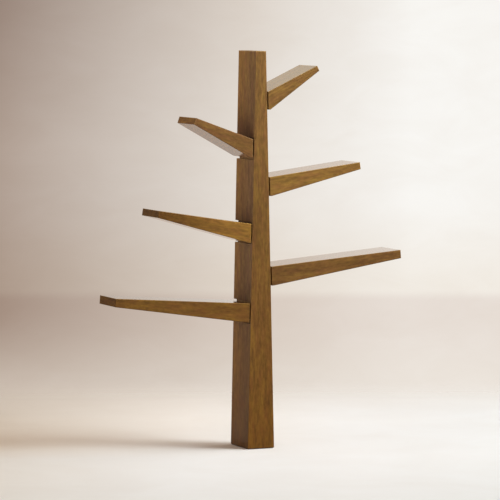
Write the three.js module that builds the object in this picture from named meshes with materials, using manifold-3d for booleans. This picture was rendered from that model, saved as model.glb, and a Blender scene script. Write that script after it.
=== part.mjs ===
// Tree shaped bookshelf: a tapering box trunk that carries six tapering box branches.
// Millimetres, +Z up. The origin is the middle of the foot, on the floor, and the front faces -Y.
// Every box is made of mitred boards. A branch has a tenon on its root, which goes through a notch
// in the trunk's side into a core block, where one bolt from behind holds it.

import * as THREE from "three";
import { mergeVertices } from "three/addons/utils/BufferGeometryUtils.js";
import Module from "manifold-3d";

const wasm = await Module();
wasm.setup();

// Trunk
const overallHeight = 1800;
const shelfDepth = 200;
const footWidth = 129;
const crownWidth = 49;
const trunkWall = 15;
const baseThickness = 18;
const padThickness = 2.5;
const padInset = 4;

// Branches: the length runs along the top face, and the tip face stands square to it
const rootHeight = 88;
const rootGap = 6;
const heelLength = 10;
const branchWall = 9;
const rootBlockThickness = 22;
const lowerBranchLength = 648;
const middleBranchLength = 452;
const upperLeftBranchLength = 294;
const upperRightBranchLength = 268;
const lowerTipHeight = 38.5;
const middleTipHeight = 32;
const upperLeftTipHeight = 31;
const upperRightTipHeight = 25;

// How steeply each branch rises
const lowerLeftRiseDegrees = 3.9;
const lowerRightRiseDegrees = 5.0;
const middleLeftRiseDegrees = 8.9;
const middleRightRiseDegrees = 7.4;
const upperLeftRiseDegrees = 20.0;
const upperRightRiseDegrees = 25.2;

// Where each branch's top face meets the trunk, as a share of the trunk's height
const lowerLeftRootShare = 0.3676;
const lowerRightRootShare = 0.4586;
const middleLeftRootShare = 0.5677;
const middleRightRootShare = 0.6840;
const upperLeftRootShare = 0.7797;
const upperRightRootShare = 0.8985;

// Joint between a branch and the trunk
const notchMargin = 6;
const notchFrontWeb = 7;
const coreMargin = 12;
const tenonHeight = 60;
const tenonDepth = 110;
const tenonReachShare = 0.6;

// Bolt
const boltDiameter = 6;
const boltHeadDiameter = 12;
const boltHeadHeight = 4.5;
const boltHeadSink = 1.5;
const boltGripInTenon = 25;
const socketWidth = 5;
const socketDepth = 3;

// Wall plate: a keyhole plate let into the back, near the top
const plateWidth = 24;
const plateHeight = 70;
const plateThickness = 2.5;
const plateCornerRadius = 5;
const plateHeightShare = 0.955;
const keyholeDiameter = 11;
const keyholeSlotWidth = 5.5;
const keyholeSlotRise = 12;
const hookPocketDepth = 7;
const screwDiameter = 3.5;
const screwHeadDiameter = 7;
const screwHeadHeight = 2;
const screwLength = 11;
const screwSpacing = 54;
const screwSlotWidth = 1;
const screwSlotDepth = 1.2;

// Finish and fits
const arrisRadius = 1.2;
const mitreGap = 0.2;
const fitGap = 0.3;
const cutOverrun = 5;
const roundFacets = 24;
const arrisAngles = [0, Math.PI / 8, Math.PI / 4];

// Worked out from the sizes above
const halfDepth = shelfDepth / 2;
const trunkBottom = padThickness + fitGap;
const trunkHeight = overallHeight - trunkBottom;
const sideSlope = (footWidth - crownWidth) / 2 / trunkHeight;

const branches = [
  { name: "lower_left", side: -1, rootShare: lowerLeftRootShare, riseDegrees: lowerLeftRiseDegrees,
    length: lowerBranchLength, tipHeight: lowerTipHeight },
  { name: "lower_right", side: 1, rootShare: lowerRightRootShare, riseDegrees: lowerRightRiseDegrees,
    length: lowerBranchLength, tipHeight: lowerTipHeight },
  { name: "middle_left", side: -1, rootShare: middleLeftRootShare, riseDegrees: middleLeftRiseDegrees,
    length: middleBranchLength, tipHeight: middleTipHeight },
  { name: "middle_right", side: 1, rootShare: middleRightRootShare, riseDegrees: middleRightRiseDegrees,
    length: middleBranchLength, tipHeight: middleTipHeight },
  { name: "upper_left", side: -1, rootShare: upperLeftRootShare, riseDegrees: upperLeftRiseDegrees,
    length: upperLeftBranchLength, tipHeight: upperLeftTipHeight },
  { name: "upper_right", side: 1, rootShare: upperRightRootShare, riseDegrees: upperRightRiseDegrees,
    length: upperRightBranchLength, tipHeight: upperRightTipHeight },
];

// Materials

const finishes = {
  stainedWood: { color: 0x85602f, roughness: 0.42, metalness: 0 },
  innerWood: { color: 0x4a301c, roughness: 0.7, metalness: 0 },
  steel: { color: 0xb9bbbd, roughness: 0.35, metalness: 1 },
  rubber: { color: 0x2b2826, roughness: 0.9, metalness: 0 },
};

function namedMesh(name, geometry, finish) {
  const material = new THREE.MeshStandardMaterial({ ...finishes[finish], flatShading: true });
  const mesh = new THREE.Mesh(geometry, material);
  mesh.name = name;
  return mesh;
}

// Planes: each has its normal pointing out of the body that it bounds

function planeThrough(normal, point) {
  return new THREE.Plane().setFromNormalAndCoplanarPoint(normal.clone().normalize(), point);
}

function movedIn(plane, distance) {
  return new THREE.Plane(plane.normal.clone(), plane.constant + distance);
}

function meetingPoint(first, second, third) {
  const acrossFirst = new THREE.Vector3().crossVectors(second.normal, third.normal);
  const acrossSecond = new THREE.Vector3().crossVectors(third.normal, first.normal);
  const acrossThird = new THREE.Vector3().crossVectors(first.normal, second.normal);
  const spread = first.normal.dot(acrossFirst);
  return new THREE.Vector3()
    .addScaledVector(acrossFirst, -first.constant / spread)
    .addScaledVector(acrossSecond, -second.constant / spread)
    .addScaledVector(acrossThird, -third.constant / spread);
}

function ringOf(end, around) {
  return around.map((plane, index) => meetingPoint(end, plane, around[(index + 1) % around.length]));
}

// Puts a face's four neighbours in anticlockwise order, seen from outside
function anticlockwise(face, around) {
  const turn = new THREE.Vector3().crossVectors(around[0].plane.normal, around[1].plane.normal);
  return turn.dot(face.plane.normal) > 0 ? around : [...around].reverse();
}

// Closed bodies

// Joins rings of as many points each, from the outer end inwards, and closes both ends
function loft(rings) {
  const size = rings[0].length;
  const triangles = [];
  for (let ring = 1; ring < rings.length; ring += 1) {
    for (let step = 0; step < size; step += 1) {
      const outer = (ring - 1) * size + step;
      const outerNext = (ring - 1) * size + ((step + 1) % size);
      triangles.push(outer, outer + size, outerNext + size);
      triangles.push(outer, outerNext + size, outerNext);
    }
  }
  const last = (rings.length - 1) * size;
  for (let step = 1; step < size - 1; step += 1) {
    triangles.push(0, step, step + 1);
    triangles.push(last, last + step + 1, last + step);
  }
  const geometry = new THREE.BufferGeometry().setFromPoints(rings.flat());
  geometry.setIndex(triangles);
  return geometry;
}

// A body has three pairs of opposite faces. Each face has a name, a plane and a wall.
function neighboursOf(face, pairs) {
  const [first, second] = pairs.filter((pair) => !pair.includes(face));
  return anticlockwise(face, [first[0], second[0], first[1], second[1]]);
}

// One board of a mitred box: eased arris, mitred edges and a flat inner face
function mitredBoard(face, pairs) {
  const around = neighboursOf(face, pairs);
  const rings = arrisAngles.map((angle) => {
    const depth = arrisRadius * (1 - Math.cos(angle));
    const inset = arrisRadius * (1 - Math.sin(angle)) + mitreGap;
    return ringOf(movedIn(face.plane, depth), around.map((side) => movedIn(side.plane, inset)));
  });
  const inner = around.map((side) => movedIn(side.plane, side.wall + mitreGap));
  rings.push(ringOf(movedIn(face.plane, face.wall), inner));
  return loft(rings);
}

// A solid block between three pairs of opposite faces
function blockBetween(pairs) {
  const [[near, far]] = pairs;
  const around = neighboursOf(near, pairs).map((face) => face.plane);
  return loft([ringOf(near.plane, around), ringOf(far.plane, around)]);
}

function boxBetween(low, high) {
  const size = new THREE.Vector3().subVectors(high, low);
  const middle = new THREE.Vector3().addVectors(low, high).multiplyScalar(0.5);
  return new THREE.BoxGeometry(size.x, size.y, size.z).translate(middle.x, middle.y, middle.z);
}

// A round bar along Y whose ends are at the two places given
function barAlongY(diameter, from, to, x, z, facets = roundFacets) {
  const bar = new THREE.CylinderGeometry(diameter / 2, diameter / 2, to - from, facets);
  return bar.translate(x, (from + to) / 2, z);
}

// Cutting and joining

function solidOf(geometry) {
  const bare = geometry.clone();
  bare.deleteAttribute("normal");
  bare.deleteAttribute("uv");
  const merged = mergeVertices(bare);
  const vertProperties = new Float32Array(merged.getAttribute("position").array);
  const triVerts = new Uint32Array(merged.index.array);
  return new wasm.Manifold(new wasm.Mesh({ numProp: 3, vertProperties, triVerts }));
}

function geometryOf(solid) {
  const mesh = solid.getMesh();
  const geometry = new THREE.BufferGeometry();
  geometry.setAttribute("position", new THREE.BufferAttribute(mesh.vertProperties, 3));
  geometry.setIndex(new THREE.BufferAttribute(mesh.triVerts, 1));
  return geometry;
}

function cut(geometry, cutters) {
  const rest = cutters.reduce((solid, cutter) => solid.subtract(solidOf(cutter)), solidOf(geometry));
  return geometryOf(rest);
}

function join(first, second) {
  return geometryOf(solidOf(first).add(solidOf(second)));
}

// Trunk: places are measured from its underside, on its middle line

function halfWidthAt(height) {
  return footWidth / 2 - sideSlope * height;
}

function level(height, facing) {
  return planeThrough(new THREE.Vector3(0, 0, facing), new THREE.Vector3(0, 0, height));
}

function trunkSide(side) {
  const foot = new THREE.Vector3((side * footWidth) / 2, 0, 0);
  return planeThrough(new THREE.Vector3(side, 0, sideSlope), foot);
}

function depthFace(facing) {
  return planeThrough(new THREE.Vector3(0, facing, 0), new THREE.Vector3(0, facing * halfDepth, 0));
}

const trunkPairs = [
  [
    { name: "trunk_front", plane: depthFace(-1), wall: trunkWall },
    { name: "trunk_back", plane: depthFace(1), wall: trunkWall },
  ],
  [
    { name: "trunk_left_side", plane: trunkSide(-1), wall: trunkWall },
    { name: "trunk_right_side", plane: trunkSide(1), wall: trunkWall },
  ],
  [
    { name: "trunk_top_cap", plane: level(trunkHeight, 1), wall: trunkWall },
    { name: "trunk_base_plate", plane: level(0, -1), wall: baseThickness },
  ],
];

// Places of a branch's joint, measured in the trunk
function jointOf(branch) {
  const rootTop = branch.rootShare * trunkHeight;
  const middle = rootTop - rootHeight / 2;
  const coreHalfWidth = halfWidthAt(middle) - trunkWall;
  const reach = tenonReachShare * 2 * coreHalfWidth;
  return {
    rootTop,
    middle,
    rootX: halfWidthAt(rootTop) + rootGap,
    notchTop: rootTop + notchMargin,
    notchBottom: rootTop - rootHeight - notchMargin,
    tenonEndX: coreHalfWidth - reach,
    boltX: coreHalfWidth - reach / 2,
  };
}

const boltHeadSeat = halfDepth - boltHeadSink - boltHeadHeight;
const boltTip = tenonDepth / 2 - boltGripInTenon;

// The notch that a branch's root opens in the trunk's side, from the front web to the back
function notchCutter(branch, depth) {
  const joint = jointOf(branch);
  const side = trunkSide(branch.side);
  const front = movedIn(depthFace(-1), notchFrontWeb);
  const floor = planeThrough(side.normal.clone().negate(), side.coplanarPoint(new THREE.Vector3()));
  const faces = [
    [front, movedIn(depthFace(1), -cutOverrun)],
    [movedIn(side, -cutOverrun), movedIn(floor, -depth)],
    [level(joint.notchTop, 1), level(joint.notchBottom, -1)],
  ];
  return blockBetween(faces.map((pair) => pair.map((plane) => ({ plane }))));
}

function sidePanel(face, side) {
  const notches = branches.filter((branch) => branch.side === side);
  const cutters = notches.map((branch) => notchCutter(branch, trunkWall + cutOverrun));
  return namedMesh(face.name, cut(mitredBoard(face, trunkPairs), cutters), "stainedWood");
}

function frontPanel(face) {
  const cutters = branches.map((branch) => notchCutter(branch, trunkWall));
  return namedMesh(face.name, cut(mitredBoard(face, trunkPairs), cutters), "stainedWood");
}

// The hole that the bolt goes through, with the wider hole that its head sinks into
function boltHoles(branch) {
  const { boltX, middle } = jointOf(branch);
  const x = branch.side * boltX;
  const holeDiameter = boltDiameter + 2 * fitGap;
  const headHoleDiameter = boltHeadDiameter + 2 * fitGap;
  return [
    barAlongY(holeDiameter, boltTip - fitGap, halfDepth + cutOverrun, x, middle),
    barAlongY(headHoleDiameter, boltHeadSeat - fitGap, halfDepth + cutOverrun, x, middle),
  ];
}

const plateMiddle = plateHeightShare * trunkHeight;

function plateCutters() {
  const recessFloor = halfDepth - plateThickness - fitGap;
  const recess = roundedPlate(plateWidth + 2 * fitGap, plateHeight + 2 * fitGap);
  const recessBody = new THREE.ExtrudeGeometry(recess, {
    depth: plateThickness + fitGap + cutOverrun,
    bevelEnabled: false,
    curveSegments: roundFacets / 4,
  });
  recessBody.rotateX(Math.PI / 2).translate(0, halfDepth + cutOverrun, plateMiddle);
  const pocketLow = new THREE.Vector3(-keyholeDiameter / 2, recessFloor - hookPocketDepth,
    plateMiddle - keyholeSlotRise);
  const pocketHigh = new THREE.Vector3(keyholeDiameter / 2, halfDepth + cutOverrun,
    plateMiddle + keyholeSlotRise);
  const screwHoles = [-1, 1].map((end) => barAlongY(screwDiameter + 2 * fitGap,
    halfDepth - screwLength - fitGap, halfDepth + cutOverrun, 0, plateMiddle + (end * screwSpacing) / 2));
  return [recessBody, boxBetween(pocketLow, pocketHigh), ...screwHoles];
}

function backPanel(face) {
  const notches = branches.map((branch) => notchCutter(branch, trunkWall));
  const cutters = [...notches, ...branches.flatMap(boltHoles), ...plateCutters()];
  return namedMesh(face.name, cut(mitredBoard(face, trunkPairs), cutters), "stainedWood");
}

// A solid block inside the trunk, with the mortise that takes a branch's tenon
function coreBlock(branch) {
  const joint = jointOf(branch);
  const faces = [
    [depthFace(-1), depthFace(1)].map((plane) => movedIn(plane, trunkWall + fitGap)),
    [trunkSide(-1), trunkSide(1)].map((plane) => movedIn(plane, trunkWall + fitGap)),
    [level(joint.notchTop + coreMargin, 1), level(joint.notchBottom - coreMargin, -1)],
  ];
  const block = blockBetween(faces.map((pair) => pair.map((plane) => ({ plane }))));
  const halfMortise = new THREE.Vector3(0, tenonDepth / 2 + fitGap, tenonHeight / 2 + fitGap);
  const ends = [branch.side * (joint.tenonEndX - fitGap), branch.side * (joint.rootX + cutOverrun)];
  const low = new THREE.Vector3(Math.min(...ends), 0, joint.middle).sub(halfMortise);
  const high = new THREE.Vector3(Math.max(...ends), 0, joint.middle).add(halfMortise);
  const cutters = [boxBetween(low, high), ...boltHoles(branch)];
  return namedMesh(`${branch.name}_core_block`, cut(block, cutters), "innerWood");
}

function bolt(branch) {
  const { boltX, middle } = jointOf(branch);
  const shank = barAlongY(boltDiameter, boltTip, boltHeadSeat + boltHeadHeight / 2, 0, 0);
  const head = barAlongY(boltHeadDiameter, boltHeadSeat, boltHeadSeat + boltHeadHeight, 0, 0);
  const headFace = boltHeadSeat + boltHeadHeight;
  const socketDiameter = socketWidth / Math.cos(Math.PI / 6);
  const socket = barAlongY(socketDiameter, headFace - socketDepth, headFace + cutOverrun, 0, 0, 6);
  const mesh = namedMesh(`${branch.name}_bolt`, cut(join(shank, head), [socket]), "steel");
  mesh.position.set(branch.side * boltX, 0, middle);
  return mesh;
}

// Wall plate and its screws

function roundedPlate(width, height) {
  const x = width / 2 - plateCornerRadius;
  const y = height / 2 - plateCornerRadius;
  const shape = new THREE.Shape();
  shape.absarc(x, y, plateCornerRadius, 0, Math.PI / 2);
  shape.absarc(-x, y, plateCornerRadius, Math.PI / 2, Math.PI);
  shape.absarc(-x, -y, plateCornerRadius, Math.PI, Math.PI * 1.5);
  shape.absarc(x, -y, plateCornerRadius, Math.PI * 1.5, Math.PI * 2);
  return shape;
}

function keyhole() {
  const slotRadius = keyholeSlotWidth / 2;
  const holeRadius = keyholeDiameter / 2;
  const drop = -keyholeSlotRise / 2;
  const rise = keyholeSlotRise / 2;
  const mouth = Math.asin(slotRadius / holeRadius);
  const path = new THREE.Path();
  path.absarc(0, rise, slotRadius, 0, Math.PI);
  path.absarc(0, drop, holeRadius, Math.PI / 2 + mouth, Math.PI * 2.5 - mouth);
  return path;
}

function wallPlate() {
  const shape = roundedPlate(plateWidth, plateHeight);
  shape.holes.push(keyhole());
  const settings = { depth: plateThickness, bevelEnabled: false, curveSegments: roundFacets / 2 };
  const plate = new THREE.ExtrudeGeometry(shape, settings);
  const narrow = screwDiameter / 2 + fitGap;
  const flare = (screwHeadDiameter - screwDiameter) / 2 / screwHeadHeight;
  const sinkHeight = screwHeadHeight + cutOverrun;
  const cutters = [-1, 1].flatMap((end) => {
    const y = (end * screwSpacing) / 2;
    const sink = new THREE.CylinderGeometry(narrow, narrow + flare * sinkHeight, sinkHeight, roundFacets);
    const hole = new THREE.CylinderGeometry(narrow, narrow, plateThickness + 2 * cutOverrun, roundFacets);
    sink.rotateX(Math.PI / 2).translate(0, y, screwHeadHeight - sinkHeight / 2);
    hole.rotateX(Math.PI / 2).translate(0, y, plateThickness / 2);
    return [sink, hole];
  });
  const mesh = namedMesh("wall_plate", cut(plate, cutters), "steel");
  mesh.rotation.x = Math.PI / 2;
  mesh.position.set(0, halfDepth, plateMiddle);
  return mesh;
}

// A countersunk screw with its head at y = 0 and its point towards -Y
function wallPlateScrew(name, end) {
  const profile = [
    new THREE.Vector2(0, -screwLength),
    new THREE.Vector2(screwDiameter / 2, -screwLength + screwDiameter),
    new THREE.Vector2(screwDiameter / 2, -screwHeadHeight),
    new THREE.Vector2(screwHeadDiameter / 2, 0),
    new THREE.Vector2(0, 0),
  ];
  const body = new THREE.LatheGeometry(profile, roundFacets);
  const across = new THREE.BoxGeometry(screwHeadDiameter + cutOverrun, 2 * screwSlotDepth, screwSlotWidth);
  const mesh = namedMesh(name, cut(body, [across]), "steel");
  mesh.position.set(0, halfDepth, plateMiddle + (end * screwSpacing) / 2);
  return mesh;
}

// Branch: places are measured from the top corner of its root, and it points along +X.
// A left branch is turned half round, so its front is on the other side of the group.

function branchCorners(branch) {
  const rise = THREE.MathUtils.degToRad(branch.riseDegrees);
  const along = new THREE.Vector3(Math.cos(rise), 0, Math.sin(rise));
  const up = new THREE.Vector3(-Math.sin(rise), 0, Math.cos(rise));
  const rootTop = new THREE.Vector3();
  const rootBottom = new THREE.Vector3(rootHeight * sideSlope, 0, -rootHeight);
  const tipTop = along.clone().multiplyScalar(branch.length);
  const tipBottom = tipTop.clone().addScaledVector(up, -branch.tipHeight);
  const under = new THREE.Vector3().subVectors(tipBottom, rootBottom);
  return { along, up, rootTop, rootBottom, tipTop, under };
}

function branchPairs(branch) {
  const frontY = -branch.side;
  const { along, up, rootTop, rootBottom, tipTop, under } = branchCorners(branch);
  const down = new THREE.Vector3(under.z, 0, -under.x);
  const inwards = new THREE.Vector3(-1, 0, -sideSlope);
  return [
    [
      { name: "front", plane: depthFace(frontY), wall: branchWall },
      { name: "back", plane: depthFace(-frontY), wall: branchWall },
    ],
    [
      { name: "root_block", plane: planeThrough(inwards, rootTop), wall: rootBlockThickness },
      { name: "tip", plane: planeThrough(along, tipTop), wall: branchWall },
    ],
    [
      { name: "top", plane: planeThrough(up, rootTop), wall: branchWall },
      { name: "bottom", plane: planeThrough(down, rootBottom), wall: branchWall },
    ],
  ];
}

// Takes the sharp lower corner off a branch's root, so that it ends in a level heel
function heelCutter(branch) {
  const { rootBottom, under } = branchCorners(branch);
  const heelZ = rootBottom.z + (heelLength * under.z) / under.x;
  const overrun = new THREE.Vector3(cutOverrun, cutOverrun, cutOverrun);
  const low = new THREE.Vector3(0, -halfDepth, rootBottom.z).sub(overrun);
  const high = new THREE.Vector3(heelLength, halfDepth, heelZ).add(overrun).setZ(heelZ);
  return boxBetween(low, high);
}

// The root board with its tenon, and the blind hole for the bolt in the tenon's back
function rootBlock(face, pairs, branch) {
  const joint = jointOf(branch);
  const middle = new THREE.Vector3(0, 0, -rootHeight / 2);
  const halfTenon = new THREE.Vector3(0, tenonDepth / 2, tenonHeight / 2);
  const low = middle.clone().sub(halfTenon).setX(joint.tenonEndX - joint.rootX);
  const high = middle.clone().add(halfTenon).setX(rootBlockThickness / 2);
  const body = join(mitredBoard(face, pairs), boxBetween(low, high));
  const ends = [branch.side * (boltTip - fitGap), branch.side * halfDepth];
  const holeDiameter = boltDiameter + 2 * fitGap;
  const hole = barAlongY(holeDiameter, Math.min(...ends), Math.max(...ends), joint.boltX - joint.rootX,
    -rootHeight / 2);
  return cut(body, [hole]);
}

function branchGroup(branch) {
  const joint = jointOf(branch);
  const pairs = branchPairs(branch);
  const group = new THREE.Group();
  for (const face of pairs.flat()) {
    const isRoot = face.name === "root_block";
    const reachesHeel = !["top", "tip"].includes(face.name);
    const board = isRoot ? rootBlock(face, pairs, branch) : mitredBoard(face, pairs);
    const geometry = reachesHeel ? cut(board, [heelCutter(branch)]) : board;
    group.add(namedMesh(`${branch.name}_branch_${face.name}`, geometry, "stainedWood"));
  }
  group.rotation.z = branch.side < 0 ? Math.PI : 0;
  group.position.set(branch.side * joint.rootX, 0, joint.rootTop);
  return group;
}

function basePad() {
  const width = footWidth - 2 * padInset;
  const depth = shelfDepth - 2 * padInset;
  const mesh = namedMesh("base_pad", new THREE.BoxGeometry(width, depth, padThickness), "rubber");
  mesh.position.z = padThickness / 2;
  return mesh;
}

// The whole bookshelf

function trunkGroup() {
  const [[front, back], [left, right], [cap, base]] = trunkPairs;
  const group = new THREE.Group();
  group.add(frontPanel(front), backPanel(back), sidePanel(left, -1), sidePanel(right, 1));
  for (const face of [cap, base]) {
    group.add(namedMesh(face.name, mitredBoard(face, trunkPairs), "stainedWood"));
  }
  group.add(wallPlate(), wallPlateScrew("wall_plate_upper_screw", 1));
  group.add(wallPlateScrew("wall_plate_lower_screw", -1));
  for (const branch of branches) {
    group.add(coreBlock(branch), branchGroup(branch), bolt(branch));
  }
  group.position.z = trunkBottom;
  return group;
}

const bookshelf = new THREE.Group();
bookshelf.add(basePad(), trunkGroup());

export default bookshelf;
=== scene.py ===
"""Dresses the tree shaped bookshelf: stained wood, steel, a rubber pad, studio light and the camera.

Metres, +Z up, the front faces -Y. The boards are the frame's own nodes; this script gives them their
finish and sets up the studio round them.
"""

import itertools
import math

import bpy
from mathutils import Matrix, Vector


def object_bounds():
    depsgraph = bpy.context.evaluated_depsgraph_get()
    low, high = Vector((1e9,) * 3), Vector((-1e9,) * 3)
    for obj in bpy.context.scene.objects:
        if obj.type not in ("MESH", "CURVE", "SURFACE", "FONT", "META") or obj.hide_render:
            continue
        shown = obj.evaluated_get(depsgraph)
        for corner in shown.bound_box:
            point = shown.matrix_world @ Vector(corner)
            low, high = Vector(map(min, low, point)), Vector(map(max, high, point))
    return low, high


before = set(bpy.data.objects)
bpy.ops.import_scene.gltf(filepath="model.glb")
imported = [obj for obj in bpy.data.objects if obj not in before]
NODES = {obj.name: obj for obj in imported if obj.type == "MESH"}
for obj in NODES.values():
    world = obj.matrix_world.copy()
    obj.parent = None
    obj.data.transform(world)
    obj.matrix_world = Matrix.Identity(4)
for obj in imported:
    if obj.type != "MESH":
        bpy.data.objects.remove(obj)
cad_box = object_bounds()

BRANCHES = ("lower_left", "lower_right", "middle_left", "middle_right", "upper_left", "upper_right")
BRANCH_BOARDS = ("front", "back", "top", "bottom", "tip", "root_block")
UP = Vector((0, 0, 1))
BACKWARDS = Vector((0, 1, 0))
TRUNK_HEIGHT = cad_box[1].z
LEVEL_TOLERANCE = 0.0005

# Camera, worked out from the edges in the photograph
IMAGE_PIXELS = 500
FOCAL_PIXELS = 3645.7
SENSOR_MM = 36.0
CAMERA_PLACE = Vector((-6.5448, -15.1440, 2.1471))
CAMERA_YAW = math.radians(23.3353)
CAMERA_PITCH = math.radians(4.3340)
CLIP_END = 200.0

# Lamps: place, target and size, then power in watts and colour
LAMPS = {
    "key": ((10.4, -7.2, 8.0), (0, 0, 0.6), (6.0, 6.0), 936, (230, 248, 255)),
    "wide": ((19.0, -8.2, 14.4), (0, 0, 0.4), (37.0, 20.0), 6750, (248, 253, 255)),
    "side": ((-10.0, -1.5, 1.3), (0, 0, 0.9), (5.0, 5.0), 250, (248, 253, 255)),
}
FILL_COLOUR = (255, 226, 202)
FILL_LIGHT = 0.353

# World as it is seen and mirrored, and the slopes up, right and away between which its parts blend
WORLD_COLOUR = (238, 232, 225)
CEILING_COLOUR = (240, 231, 212)
SIDE_SHADE = (160, 148, 142)
UP_SLOPES = (0.12, 0.36)
RIGHT_SLOPES = (-0.65, -0.15)
AWAY_SLOPES = (-0.3, 0.3)

# Floor: its shape, and the radii and depths between which it fades out
FLOOR_RADIUS = 5.0
FLOOR_CORNERS = 96
FLOOR_FADE_RADII = (2.5, 4.5)
FLOOR_FADE_DEPTHS = (0.9, 2.8)

# Floor paint with painted shade, in sRGB from 0 to 255, and where it blends: X to the camera's right, Y
# away from it
# The floor paint is darker to the left, behind on the left and towards the camera: painted shade
FLOOR_FAR_LEFT = (140, 124, 113)
FLOOR_LEFT_BACK = (221, 210, 197)
FLOOR_LEFT = (234, 221, 205)
FLOOR_LEFT_FRONT = (237, 231, 223)
FLOOR_BESIDE = (252, 246, 239)
FLOOR_MIDDLE = (250, 249, 248)
FLOOR_RIGHT = (244, 245, 245)
FLOOR_FRONT_SHADE = (242, 242, 241)
FAR_LEFT_X = (-3.0, -1.2)
LEFT_X = (-1.2, -0.3)
MIDDLE_X = (-0.3, 0.4)
RIGHT_X = (0.4, 1.2)
LEFT_FRONT_Y = (0.05, -0.45)
LEFT_BACK_Y = (0.3, 1.2)
BESIDE_Y = (0.2, -0.4)
FRONT_SHADE_Y = (-0.3, -1.6)

# Wall: its shape, its clear rim and how far in from its ends and edges it shows in full
WALL_DISTANCE = 7.5
WALL_HALF_WIDTH = 4.6
WALL_LOW = -2.5
WALL_HIGH = 3.2
WALL_RIM = 0.1
WALL_END_FADE = 1.8
WALL_EDGE_FADE = 1.0

# Wall paint with painted shade, beige on the left and nearly white on the right, darker high up and at its
# foot, and where it blends
WALL_LEFT = (178, 161, 149)
WALL_LEFT_HIGH = (152, 133, 122)
WALL_MIDDLE = (232, 225, 217)
WALL_MIDDLE_HIGH = (219, 209, 199)
WALL_RIGHT = (249, 247, 243)
WALL_FOOT_SHADE = (249, 245, 240)
WALL_LEFT_X = (-1.65, 0.0)
WALL_RIGHT_X = (0.0, 1.05)
WALL_HIGH_Z = (1.0, 2.1)
WALL_FOOT_Z = (0.75, 0.05)

# Below the floor's level the wall is painted like the floor, far and near, with the floor's painted shade
FAR_FLOOR_SHADE = (244, 240, 240)
NEAR_FLOOR_LEFT = (210, 197, 184)
NEAR_FLOOR_RIGHT = (238, 231, 222)
FAR_FLOOR_Z = (0.07, -0.01)
NEAR_FLOOR_Z = (-0.02, -0.8)
NEAR_FLOOR_X = (-1.5, 1.0)

# Clouds on floor and wall
CLOUD_SHADE = (252, 251, 250)
CLOUD_SIZES = (0.5, 0.5, 0.22)
CLOUD_LEVELS = (0.35, 0.65)

# Wood tones, in sRGB from 0 to 255: golden, reddish, dark, and the pale tone of the arrises' painted
# highlight
STAINED = ((162, 124, 56), (150, 103, 57), (90, 64, 32), (210, 166, 100))
BARE = ((188, 150, 98), (178, 136, 88), (134, 96, 56), (206, 170, 118))

# Finishes: share of the fine grain that shows, gloss and relief
OILED = {"figure": 1.0, "roughness": 0.4, "ior": 1.22, "coat": 0.0, "relief": 0.2}
LACQUERED = {"figure": 0.35, "roughness": 0.12, "ior": 1.4, "coat": 0.8, "relief": 0.05}
WAXED = {"figure": 0.35, "roughness": 0.12, "ior": 1.4, "coat": 0.35, "relief": 0.05}
GRAINY = {"figure": 1.0, "roughness": 0.12, "ior": 1.4, "coat": 0.47, "relief": 0.05}
POLISHED = {"figure": 0.35, "roughness": 0.05, "ior": 1.45, "coat": 1.0, "relief": 0.02}
FACE_FINISHES = {"top": LACQUERED, "bottom": WAXED}
BOARD_FINISHES = {"upper_right_top": GRAINY, "middle_left_bottom": POLISHED}
ROUGHNESS_SPREAD = 0.1
COAT_ROUGHNESS = 0.08
RELIEF_DEPTH = 0.0002

# How the colour's red, green and blue differ from board to board: stain, with painted light and shade over
# it
EVEN = (1, 1, 1)
# Painted light and shade: the lower branches, two left-facing tips and the upper left underside darker, the
# right-hand tops lighter, and extra blue as painted sheen
BOARD_STAIN_AND_LIGHT = {
    "upper_left": (1.05, 1.04, 1.36),
    "middle_left": (1.32, 1.31, 1.12),
    "lower_left": (0.79, 0.73, 0.62),
    "upper_right": (1.26, 1.31, 1.56),
    "middle_right": (1.29, 1.34, 1.4),
    "lower_right": (0.85, 0.81, 0.91),
    "upper_left_tip": (1.24, 1.2, 1.18),
    "middle_left_tip": (0.65, 0.59, 0.38),
    "lower_left_tip": (0.57, 0.47, 0.18),
    "upper_left_bottom": (0.78, 0.68, 0.85),
    "upper_right_top": (1.95, 2.0, 1.36),
    "middle_right_top": (1.42, 1.34, 1.0),
    "lower_right_top": (1.25, 1.15, 0.7),
}

# Tints at the trunk's foot, middle and crown: stain, with painted light over it
# Painted light: darker at the foot, lighter and bluer at the crown, and the shaded left side lifted and
# greyed as painted light and sheen
TRUNK_STAIN_AND_LIGHT = {
    "trunk_front": ((0.67, 0.56, 0.31), (0.9, 0.86, 0.91), (1.38, 1.46, 1.74)),
    "trunk_left_side": ((0.56, 0.46, 0.31), (1.2, 1.31, 1.96), (1.43, 1.54, 1.95)),
}

# Painted light on the trunk's left side: darker near the front than near the back
SIDE_DEPTHS = (-0.05, 0.09)
SIDE_FRONT_PAINTED_SHADE = (0.84, 0.85, 1.0)
SIDE_BACK_PAINTED_LIGHT = (1.2, 1.15, 0.98)

# Fronts that grow dark towards their tip: X of the dark and of the even end, and the dark end's tint
DARK_ENDS = {"middle_left_front": (-0.47, -0.15, (0.52, 0.46, 0.5))}

# Grain: length and width of each kind, then the detail and roughness of its noise
GRAIN = {
    "clouds": (0.16, 0.045, 3.0, 0.55),
    "warmth": (0.07, 0.02, 2.0, 0.6),
    "sway": (0.35, 0.06, 2.0, 0.5),
    "flecks": (0.03, 0.01, 2.0, 0.55),
    "streaks": (0.11, 0.009, 2.0, 0.6),
    "fibres": (0.06, 0.0016, 3.0, 0.65),
    "pores": (0.011, 0.0005, 1.0, 0.5),
}
NOISE_LEVELS = (0.3, 0.7)

# Growth rings: radians a metre, how far the sway bends them, and how much dark stain they add
RING_RATE = 150.0
RING_SWAY = 22.0
RING_SHARE = 0.14

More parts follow.
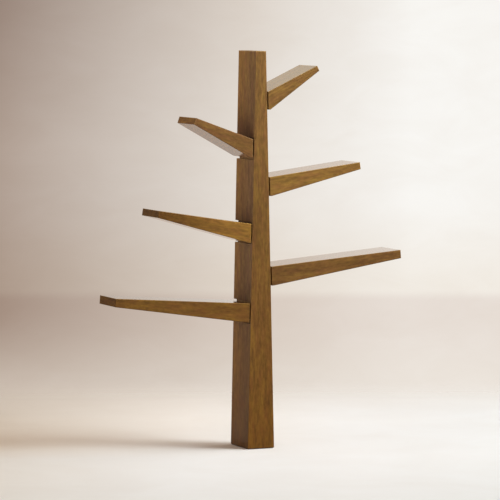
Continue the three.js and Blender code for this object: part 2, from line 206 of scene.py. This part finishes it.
# Dark stain that each kind of grain adds, from least to most
FINE_SHARES = {"flecks": (-0.06, 0.3), "streaks": (0.02, 0.22), "fibres": (0.0, 0.26)}
STAIN_LEVELS = (0.32, 0.68)
STAIN_SHARES = (0.02, 0.22)
PORE_LEVELS = (0.66, 0.74)
PORE_SHARE = 0.5

# Height that the grain adds to the relief, and depth that the pores take from it
FIBRE_RELIEF = 0.4
STREAK_RELIEF = 1.6
PORE_RELIEF = 0.6

# Arrises: the rounding in the relief and the wider one on which light and shade are painted, the cosine
# between the rounded and the flat normal where an arris starts and is full, and how strongly its painted
# highlight shows from patch to patch
BEVEL_SAMPLES = 6
EDGE_ROUNDING = 0.002
HIGHLIGHT_ROUNDING = 0.0032
EDGE_COSINES = (1.0, 0.93)
HIGHLIGHT_PATCH_LEVELS = (0.35, 0.6)
HIGHLIGHT_PATCH_SHARES = (0.5, 1.0)

# Rise of the arrises' normal: where the painted highlight grows, where it ends, and where painted shade
# gathers
HIGHLIGHT_RISE = (-0.02, 0.25)
HIGHLIGHT_SHARES = (0.12, 0.8)
HIGHLIGHT_END_RISE = (-0.1, -0.02)
SHADE_RISE = (-0.05, -0.25)
SHADE_SHARES = (0.0, 0.7)

# Each board's cut is a step further into the log
CUT_STEP = (1.37, 0.61, 0.83)
FIRST_TRUNK_CUT = 1
FIRST_BRANCH_CUT = 11

# Zinc plated steel
STEEL_BRIGHT = (190, 191, 194)
STEEL_TARNISHED = (150, 146, 138)
BRUSHING_SIZES = (0.0006, 0.02, 0.02)
TARNISH_SIZES = (0.009, 0.009, 0.009)
TARNISH_LEVELS = (0.35, 0.7)
STEEL_ROUGHNESS = (0.26, 0.44)
BRUSHING_DEPTH = 0.0001

# Rubber: pebbles and dust spots to the metre
RUBBER_DARK = (42, 39, 36)
RUBBER_DUSTY = (74, 69, 62)
PEBBLE_SCALE = 700.0
PEBBLE_DEPTH = 0.0003
DUST_SCALE = 60.0
DUST_LEVELS = (0.45, 0.75)
RUBBER_ROUGHNESS = (0.75, 0.92)


def linear(colour):
    """An sRGB colour from 0 to 255 as linear red, green, blue and alpha."""
    shares = [value / 255 for value in colour]
    lows = [value / 12.92 for value in shares]
    highs = [((value + 0.055) / 1.055) ** 2.4 for value in shares]
    return [low if value <= 0.04045 else high for value, low, high in zip(shares, lows, highs)] + [1.0]


def tinted(colour, tint):
    """A colour from 0 to 255 as linear values, with its red, green and blue times a tint."""
    return [value * share for value, share in zip(linear(colour), tint)] + [1.0]


class Sheet:
    """The node tree of a material or of the world, with short calls to add nodes and join them."""

    def __init__(self, name, owners=bpy.data.materials):
        self.owner = owners.new(name)
        self.owner.use_nodes = True
        self.tree = self.owner.node_tree
        self.tree.nodes.clear()

    def add(self, kind, output=0, settings=None, **inputs):
        """Adds a node, fills its inputs with values or sockets, and returns one of its outputs."""
        node = self.tree.nodes.new("ShaderNode" + kind)
        for key, value in (settings or {}).items():
            setattr(node, key, value)
        for key, value in inputs.items():
            self.fill(node.inputs[self.index(node, key)], value)
        return node.outputs[output] if node.outputs else None

    @staticmethod
    def index(node, key):
        """The place of the input that a keyword names: its number after an underscore, or its name."""
        if key.startswith("_"):
            return int(key[1:])
        wanted = key.replace("_", " ").lower()
        return next(i for i, socket in enumerate(node.inputs) if socket.name.lower() == wanted)

    def fill(self, socket, value):
        """Links a socket to an input, or sets the input to a value."""
        if isinstance(value, bpy.types.NodeSocket):
            self.tree.links.new(value, socket)
        else:
            socket.default_value = value

    def math(self, operation, first, second=0.0, clamp=False):
        settings = {"operation": operation, "use_clamp": clamp}
        return self.add("Math", settings=settings, _0=first, _1=second)

    def product(self, first, second):
        return self.math("MULTIPLY", first, second)

    def total(self, first, second):
        return self.math("ADD", first, second)

    def dot(self, first, second):
        return self.add("VectorMath", output=1, settings={"operation": "DOT_PRODUCT"}, _0=first, _1=second)

    def mix(self, factor, first, second):
        """A colour between two colours."""
        return self.add("Mix", output=2, settings={"data_type": "RGBA"}, _0=factor, _6=first, _7=second)

    def multiply(self, factor, first, second):
        """A colour shaded by another, as far as the factor says."""
        settings = {"data_type": "RGBA", "blend_type": "MULTIPLY"}
        return self.add("Mix", output=2, settings=settings, _0=factor, _6=first, _7=second)

    def span(self, value, low, high, to_low=0.0, to_high=1.0):
        """Carries the range low to high over to another range, held inside it."""
        return self.add("MapRange", value=value, from_min=low, from_max=high, to_min=to_low, to_max=to_high)

    def smooth(self, value, low, high):
        """Rises softly from 0 at low to 1 at high."""
        settings = {"interpolation_type": "SMOOTHSTEP"}
        return self.add("MapRange", settings=settings, value=value, from_min=low, from_max=high)

    def noise(self, vector, scale=1.0, detail=2.0, roughness=0.5, distortion=0.0):
        return self.add("TexNoise", vector=vector, scale=scale, detail=detail, roughness=roughness,
                        distortion=distortion)

    def stretched(self, vector, sizes):
        """Coordinates in which one unit is that many metres along each axis."""
        scale = [1 / size for size in sizes]
        return self.add("VectorMath", settings={"operation": "MULTIPLY"}, _0=vector, _1=scale)

    def object_place(self):
        """Object coordinates, as a vector."""
        return self.add("TexCoord", output="Object")

    def part(self, vector, axis):
        """One of a vector's three numbers."""
        return self.add("SeparateXYZ", output=axis, vector=vector)

    def place(self):
        """Object coordinates, as three numbers."""
        vector = self.object_place()
        return [self.part(vector, axis) for axis in range(3)]

    def seen(self):
        """1 for the rays that see a thing directly, mirrored or through glass, 0 for its soft light."""
        kinds = ("Is Camera Ray", "Is Glossy Ray", "Is Transmission Ray")
        camera, glossy, through = [self.add("LightPath", output=kind) for kind in kinds]
        return self.math("MAXIMUM", camera, self.math("MAXIMUM", glossy, through))

    def finish(self, shader, output="OutputMaterial"):
        """Joins a shader to the output, and returns the material or world."""
        self.add(output, surface=shader)
        return self.owner


# Wood

def grain_space(sheet, along, cut):
    """Object coordinates turned so that X runs along the grain, and moved to a board's own cut."""
    turn = along.normalized().rotation_difference(Vector((1, 0, 0))).to_euler()
    return sheet.add("Mapping", vector=sheet.object_place(), rotation=turn, location=cut)


def grain_noises(sheet, grain):
    """Every kind of grain as a noise that is drawn out along the board."""
    noises = {}
    for kind, (length, width, detail, roughness) in GRAIN.items():
        place = sheet.stretched(grain, (length, width, width))
        noises[kind] = sheet.noise(place, detail=detail, roughness=roughness)
    return noises


def growth_rings(sheet, grain, sway):
    """Waves between 0 and 1 across the board, bent by the sway."""
    across = sheet.part(grain, 2)
    place = sheet.total(sheet.product(across, RING_RATE), sheet.product(sway, RING_SWAY))
    return sheet.span(sheet.math("SINE", place), -1.0, 1.0)


def dark_share(sheet, noises, rings, figure):
    """How much dark stain shows: the fine grain, as far as the finish shows it, and soft clouds."""
    fine = sheet.product(rings, RING_SHARE)
    for kind, shares in FINE_SHARES.items():
        fine = sheet.total(fine, sheet.span(noises[kind], *NOISE_LEVELS, *shares))
    clouds = sheet.span(noises["clouds"], *STAIN_LEVELS, *STAIN_SHARES)
    return sheet.math("ADD", sheet.product(fine, figure), clouds, clamp=True)


def with_painted_arris_light(sheet, colour, highlight_tone, dark, highlight_patches):
    """Paints pale highlights in patches on the arrises where they face up or aside, and painted shade in
    those that face down.
    """
    rounded = sheet.add("Bevel", settings={"samples": BEVEL_SAMPLES}, radius=HIGHLIGHT_ROUNDING)
    flat = sheet.add("NewGeometry", output="Normal")
    edge = sheet.span(sheet.dot(rounded, flat), *EDGE_COSINES)
    rise = sheet.part(rounded, 2)
    pale = sheet.product(edge, sheet.span(rise, *HIGHLIGHT_RISE, *HIGHLIGHT_SHARES))
    pale = sheet.product(pale, sheet.product(highlight_patches, sheet.span(rise, *HIGHLIGHT_END_RISE)))
    colour = sheet.mix(pale, colour, highlight_tone)
    return sheet.mix(sheet.product(edge, sheet.span(rise, *SHADE_RISE, *SHADE_SHARES)), colour, dark)


def shift(sheet, colour, place, low, high, low_tint, high_tint):
    """Lets a tint change evenly along one coordinate, as the painted light on the trunk's left side does.
    """
    tint = sheet.mix(sheet.span(place, low, high), (*low_tint, 1), (*high_tint, 1))
    return sheet.multiply(1.0, colour, tint)


def trunk_stain_and_light(sheet, colour, node):
    """The trunk's stain with painted light: darker and warmer at the foot, paler at the crown."""
    foot, middle, crown = TRUNK_STAIN_AND_LIGHT.get(node, TRUNK_STAIN_AND_LIGHT["trunk_front"])
    _, depth, height = sheet.place()
    low = sheet.mix(sheet.span(height, 0.0, 0.5 * TRUNK_HEIGHT), (*foot, 1), (*middle, 1))
    tint = sheet.mix(sheet.span(height, 0.5 * TRUNK_HEIGHT, TRUNK_HEIGHT), low, (*crown, 1))
    colour = sheet.multiply(1.0, colour, tint)
    if node == "trunk_left_side":
        # Painted light: the left side darker near the front, lighter near the back
        colour = shift(sheet, colour, depth, *SIDE_DEPTHS, SIDE_FRONT_PAINTED_SHADE, SIDE_BACK_PAINTED_LIGHT)
    return colour


def wood_colour(sheet, node, grain, noises, pores, tones, figure):
    """Golden and reddish patches, darkened by the grain, with painted highlights and shade at the arrises,
    in the board's own tint of stain and painted light.
    """
    golden, reddish, dark, highlight_tone = tones
    rings = growth_rings(sheet, grain, noises["sway"])
    colour = sheet.mix(sheet.span(noises["warmth"], *NOISE_LEVELS), golden, reddish)
    colour = sheet.mix(dark_share(sheet, noises, rings, figure), colour, dark)
    colour = sheet.mix(pores, colour, dark)
    highlight_patches = sheet.span(noises["clouds"], *HIGHLIGHT_PATCH_LEVELS, *HIGHLIGHT_PATCH_SHARES)
    colour = with_painted_arris_light(sheet, colour, highlight_tone, dark, highlight_patches)
    if node.startswith("trunk"):
        colour = trunk_stain_and_light(sheet, colour, node)
    if node in DARK_ENDS:
        dark_end, even_end, tint = DARK_ENDS[node]
        colour = shift(sheet, colour, sheet.place()[0], dark_end, even_end, tint, EVEN)
    return colour


def wood_relief(sheet, noises, pores, strength):
    """The grain's relief on softly rounded edges."""
    height = sheet.math("SUBTRACT", sheet.product(noises["fibres"], FIBRE_RELIEF),
                        sheet.product(pores, PORE_RELIEF))
    height = sheet.total(height, sheet.product(noises["streaks"], STREAK_RELIEF))
    rounded = sheet.add("Bevel", settings={"samples": BEVEL_SAMPLES}, radius=EDGE_ROUNDING)
    return sheet.add("Bump", strength=strength, distance=RELIEF_DEPTH, height=height, normal=rounded)


def wood_material(node, along, cut, tint=EVEN, tones=STAINED, finish=OILED):
    """Stained wood: soft clouds, growth rings, flecks, fibres, pores, painted highlights and shade at the
    arrises.
    """
    sheet = Sheet(f"wood_{node}")
    figure = finish["figure"]
    grain = grain_space(sheet, along, cut)
    noises = grain_noises(sheet, grain)
    pores = sheet.span(noises["pores"], *PORE_LEVELS, 0.0, PORE_SHARE * figure)
    tones = [tinted(tone, tint) for tone in tones]
    colour = wood_colour(sheet, node, grain, noises, pores, tones, figure)
    smooth, rough = finish["roughness"], finish["roughness"] + ROUGHNESS_SPREAD
    roughness = sheet.span(noises["fibres"], *NOISE_LEVELS, smooth, rough)
    bump = wood_relief(sheet, noises, pores, finish["relief"])
    shader = sheet.add("BsdfPrincipled", base_color=colour, roughness=roughness, normal=bump,
                       ior=finish["ior"], coat_weight=finish["coat"], coat_roughness=COAT_ROUGHNESS)
    return sheet.finish(shader)


# Steel and rubber

def steel_material(name):
    """Zinc plated steel with fine brushing and a little tarnish."""
    sheet = Sheet(name)
    place = sheet.object_place()
    brushing = sheet.noise(sheet.stretched(place, BRUSHING_SIZES), detail=3.0)
    tarnish = sheet.noise(sheet.stretched(place, TARNISH_SIZES), detail=4.0, roughness=0.65)
    colour = sheet.mix(sheet.span(tarnish, *TARNISH_LEVELS), linear(STEEL_BRIGHT), linear(STEEL_TARNISHED))
    roughness = sheet.span(brushing, *NOISE_LEVELS, *STEEL_ROUGHNESS)
    bump = sheet.add("Bump", strength=0.2, distance=BRUSHING_DEPTH, height=brushing)
    shader = sheet.add("BsdfPrincipled", base_color=colour, metallic=1.0, roughness=roughness, normal=bump)
    return sheet.finish(shader)


def rubber_material(name):
    """Dark rubber with a fine pebbled skin and some dust."""
    sheet = Sheet(name)
    place = sheet.object_place()
    pebbles = sheet.add("TexVoronoi", vector=place, scale=PEBBLE_SCALE)
    dust = sheet.noise(place, scale=DUST_SCALE, detail=4.0, roughness=0.6)
    colour = sheet.mix(sheet.span(dust, *DUST_LEVELS), linear(RUBBER_DARK), linear(RUBBER_DUSTY))
    bump = sheet.add("Bump", strength=0.3, distance=PEBBLE_DEPTH, height=pebbles)
    roughness = sheet.span(dust, *NOISE_LEVELS, *RUBBER_ROUGHNESS)
    shader = sheet.add("BsdfPrincipled", base_color=colour, roughness=roughness, normal=bump)
    return sheet.finish(shader)


# Finishes of the object's pieces

def board_direction(node):
    """The way a branch runs: along the longest edge that lies in the front's plane."""
    mesh = NODES[node].data
    spans = [mesh.vertices[edge.vertices[1]].co - mesh.vertices[edge.vertices[0]].co for edge in mesh.edges]
    level = [span for span in spans if abs(span.y) < LEVEL_TOLERANCE]
    longest = max(level, key=lambda span: span.length)
    return longest if longest.z > 0 else -longest


def paint(node, material):
    for slot in NODES[node].material_slots:
        slot.material = material


def own_cut(number):
    """Moves each board to another part of the log, so that no two boards look alike."""
    return tuple(step * number for step in CUT_STEP)


def paint_trunk():
    boards = {"trunk_front": UP, "trunk_back": UP, "trunk_left_side": UP, "trunk_right_side": UP,
              "trunk_top_cap": BACKWARDS, "trunk_base_plate": BACKWARDS}
    for number, (node, along) in enumerate(boards.items(), start=FIRST_TRUNK_CUT):
        paint(node, wood_material(node, along, own_cut(number)))


def paint_branches():
    """Gives each branch's boards their finishes, and leaves its core block bare."""
    numbers = itertools.count(FIRST_BRANCH_CUT)
    for branch in BRANCHES:
        along = board_direction(f"{branch}_branch_top")
        for board in BRANCH_BOARDS:
            cut = own_cut(next(numbers))
            name = f"{branch}_{board}"
            grain = BACKWARDS if board == "tip" else along
            # Each board's tint carries its stain and its painted light and shade
            tint = BOARD_STAIN_AND_LIGHT.get(name, BOARD_STAIN_AND_LIGHT[branch])
            finish = BOARD_FINISHES.get(name, FACE_FINISHES.get(board, OILED))
            paint(f"{branch}_branch_{board}", wood_material(name, grain, cut, tint, finish=finish))
        paint(f"{branch}_core_block", wood_material(f"{branch}_core", UP, cut, tones=BARE))


def paint_fittings():
    steel = steel_material("zinc_plated_steel")
    for node in NODES:
        if node.endswith("_bolt") or node.startswith("wall_plate"):
            paint(node, steel)
    paint("base_pad", rubber_material("pad_rubber"))


# Studio

def add_object(name, data):
    added = bpy.data.objects.new(name, data)
    bpy.context.scene.collection.objects.link(added)
    return added


def flat_mesh(name, corners):
    mesh = bpy.data.meshes.new(name)
    mesh.from_pydata(corners, [], [list(range(len(corners)))])
    mesh.update()
    return mesh


def add_backdrop(name, corners):
    """A flat piece of the studio, turned about the object as the camera is."""
    backdrop = add_object(name, flat_mesh(name, corners))
    backdrop.rotation_euler.z = -CAMERA_YAW
    return backdrop


def mottled(sheet, colour):
    """Faint clouds, as on limed plaster."""
    place = sheet.stretched(sheet.object_place(), CLOUD_SIZES)
    clouds = sheet.noise(place, detail=4.0, roughness=0.6, distortion=0.6)
    return sheet.multiply(sheet.span(clouds, *CLOUD_LEVELS), colour, linear(CLOUD_SHADE))


def floor_colour_with_painted_shade(sheet, x, y):
    """Painted shade on a pale floor: darker at the far left, nearly white in the middle, a little darker
    towards the camera.
    """
    left = sheet.mix(sheet.span(y, *LEFT_FRONT_Y), linear(FLOOR_LEFT), linear(FLOOR_LEFT_FRONT))
    left = sheet.mix(sheet.span(y, *LEFT_BACK_Y), left, linear(FLOOR_LEFT_BACK))
    left = sheet.mix(sheet.span(x, *FAR_LEFT_X), linear(FLOOR_FAR_LEFT), left)
    beside = sheet.mix(sheet.span(y, *BESIDE_Y), linear(FLOOR_BESIDE), linear(FLOOR_MIDDLE))
    colour = sheet.mix(sheet.span(x, *LEFT_X), left, beside)
    colour = sheet.mix(sheet.span(x, *MIDDLE_X), colour, linear(FLOOR_MIDDLE))
    colour = sheet.mix(sheet.span(x, *RIGHT_X), colour, linear(FLOOR_RIGHT))
    colour = sheet.multiply(sheet.span(y, *FRONT_SHADE_Y), colour, linear(FLOOR_FRONT_SHADE))
    return mottled(sheet, colour)


def make_floor():
    """A pale floor that fades out before the wall's foot."""
    turns = [2 * math.pi * i / FLOOR_CORNERS for i in range(FLOOR_CORNERS)]
    rim = [(FLOOR_RADIUS * math.cos(turn), FLOOR_RADIUS * math.sin(turn), 0) for turn in turns]
    floor = add_backdrop("floor", rim)
    sheet = Sheet("pale_floor")
    x, y, _ = sheet.place()
    radius = sheet.math("SQRT", sheet.total(sheet.product(x, x), sheet.product(y, y)))
    rim_fade = sheet.smooth(radius, *FLOOR_FADE_RADII)
    fade = sheet.math("MAXIMUM", rim_fade, sheet.smooth(y, *FLOOR_FADE_DEPTHS))
    matt = sheet.add("BsdfDiffuse", color=floor_colour_with_painted_shade(sheet, x, y))
    clear = sheet.add("BsdfTransparent")
    floor.data.materials.append(sheet.finish(sheet.add("MixShader", _0=fade, _1=matt, _2=clear)))


def wall_colour_with_painted_shade(sheet):
    """The wall above the floor's level, and below it what shows where the floor fades out, with painted
    shade: darker on the left, high up and at the foot.
    """
    x, _, z = sheet.place()
    high = sheet.span(z, *WALL_HIGH_Z)
    left = sheet.mix(high, linear(WALL_LEFT), linear(WALL_LEFT_HIGH))
    middle = sheet.mix(high, linear(WALL_MIDDLE), linear(WALL_MIDDLE_HIGH))
    wall = sheet.mix(sheet.span(x, *WALL_LEFT_X), left, middle)
    wall = sheet.mix(sheet.span(x, *WALL_RIGHT_X), wall, linear(WALL_RIGHT))
    shaded = sheet.multiply(sheet.smooth(z, *WALL_FOOT_Z), wall, linear(WALL_FOOT_SHADE))
    shaded = sheet.multiply(sheet.smooth(z, *FAR_FLOOR_Z), shaded, linear(FAR_FLOOR_SHADE))
    near = sheet.mix(sheet.span(x, *NEAR_FLOOR_X), linear(NEAR_FLOOR_LEFT), linear(NEAR_FLOOR_RIGHT))
    return mottled(sheet, sheet.mix(sheet.smooth(z, *NEAR_FLOOR_Z), shaded, near))


def wall_shown(sheet):
    """1 where the wall shows and 0 where it is clear: at its rim, from behind and to soft light."""
    x, _, z = sheet.place()
    side = WALL_HALF_WIDTH
    ends = sheet.smooth(sheet.math("ABSOLUTE", x), side - WALL_RIM, side - WALL_END_FADE)
    top = sheet.smooth(z, WALL_HIGH - WALL_RIM, WALL_HIGH - WALL_EDGE_FADE)
    bottom = sheet.smooth(z, WALL_LOW + WALL_RIM, WALL_LOW + WALL_EDGE_FADE)
    front = sheet.math("SUBTRACT", 1.0, sheet.add("NewGeometry", output="Backfacing"))
    shown = sheet.seen()
    for part in (ends, top, bottom, front):
        shown = sheet.product(shown, part)
    return shown


def make_wall():
    """A backdrop that is seen from the front alone, fades out at its ends and casts no light."""
    corners = [(-WALL_HALF_WIDTH, WALL_DISTANCE, WALL_LOW), (WALL_HALF_WIDTH, WALL_DISTANCE, WALL_LOW),
               (WALL_HALF_WIDTH, WALL_DISTANCE, WALL_HIGH), (-WALL_HALF_WIDTH, WALL_DISTANCE, WALL_HIGH)]
    wall = add_backdrop("wall", corners)
    sheet = Sheet("pale_wall")
    paint_on = sheet.add("Emission", color=wall_colour_with_painted_shade(sheet), strength=1.0)
    clear = sheet.add("BsdfTransparent")
    shader = sheet.add("MixShader", _0=wall_shown(sheet), _1=clear, _2=paint_on)
    wall.data.materials.append(sheet.finish(shader))


def make_world():
    """The even fill light, and the studio as it is seen: pale, cream overhead, with shade in mirrors.

    The shade lies on the camera's left and near side, and shows in mirrored light alone.
    """
    sheet = Sheet("studio", bpy.data.worlds)
    to_right = (math.cos(CAMERA_YAW), -math.sin(CAMERA_YAW), 0.0)
    away = (math.sin(CAMERA_YAW), math.cos(CAMERA_YAW), 0.0)
    direction = sheet.add("TexCoord", output="Generated")
    side = sheet.dot(direction, to_right)
    depth = sheet.dot(direction, away)
    unshaded = sheet.product(sheet.smooth(side, *RIGHT_SLOPES), sheet.smooth(depth, *AWAY_SLOPES))
    ceiling = sheet.smooth(sheet.part(direction, 2), *UP_SLOPES)
    beyond = sheet.mix(ceiling, linear(WORLD_COLOUR), linear(CEILING_COLOUR))
    mirrored = sheet.mix(unshaded, linear(SIDE_SHADE), beyond)
    camera = sheet.add("LightPath", output="Is Camera Ray")
    seen = sheet.add("Background", color=sheet.mix(camera, mirrored, beyond), strength=1.0)
    fill = sheet.add("Background", color=linear(FILL_COLOUR), strength=FILL_LIGHT)
    shader = sheet.add("MixShader", _0=sheet.seen(), _1=fill, _2=seen)
    bpy.context.scene.world = sheet.finish(shader, "OutputWorld")


def add_lamp(name, place, target, size, power, colour):
    """A soft oval lamp that isn't seen, nor mirrored as a white spot in the lacquer."""
    light = bpy.data.lights.new(name, "AREA")
    light.shape = "ELLIPSE"
    light.size, light.size_y = size
    light.energy = power
    light.color = linear(colour)[:3]
    lamp = add_object(name, light)
    lamp.location = place
    lamp.rotation_euler = (Vector(target) - Vector(place)).to_track_quat("-Z", "Y").to_euler()
    lamp.visible_camera = False
    lamp.visible_glossy = False


def make_lamps():
    for name, lamp in LAMPS.items():
        add_lamp(name, *lamp)


def make_camera():
    data = bpy.data.cameras.new("camera")
    data.sensor_width = SENSOR_MM
    data.lens = FOCAL_PIXELS / IMAGE_PIXELS * SENSOR_MM
    data.clip_end = CLIP_END
    camera = add_object("camera", data)
    camera.location = CAMERA_PLACE
    camera.rotation_euler = (math.pi / 2 - CAMERA_PITCH, 0, -CAMERA_YAW)
    bpy.context.scene.camera = camera


make_camera()
paint_trunk()
paint_branches()
paint_fittings()
make_floor()
make_wall()
make_world()
make_lamps()
bpy.context.scene.view_settings.view_transform = "Standard"
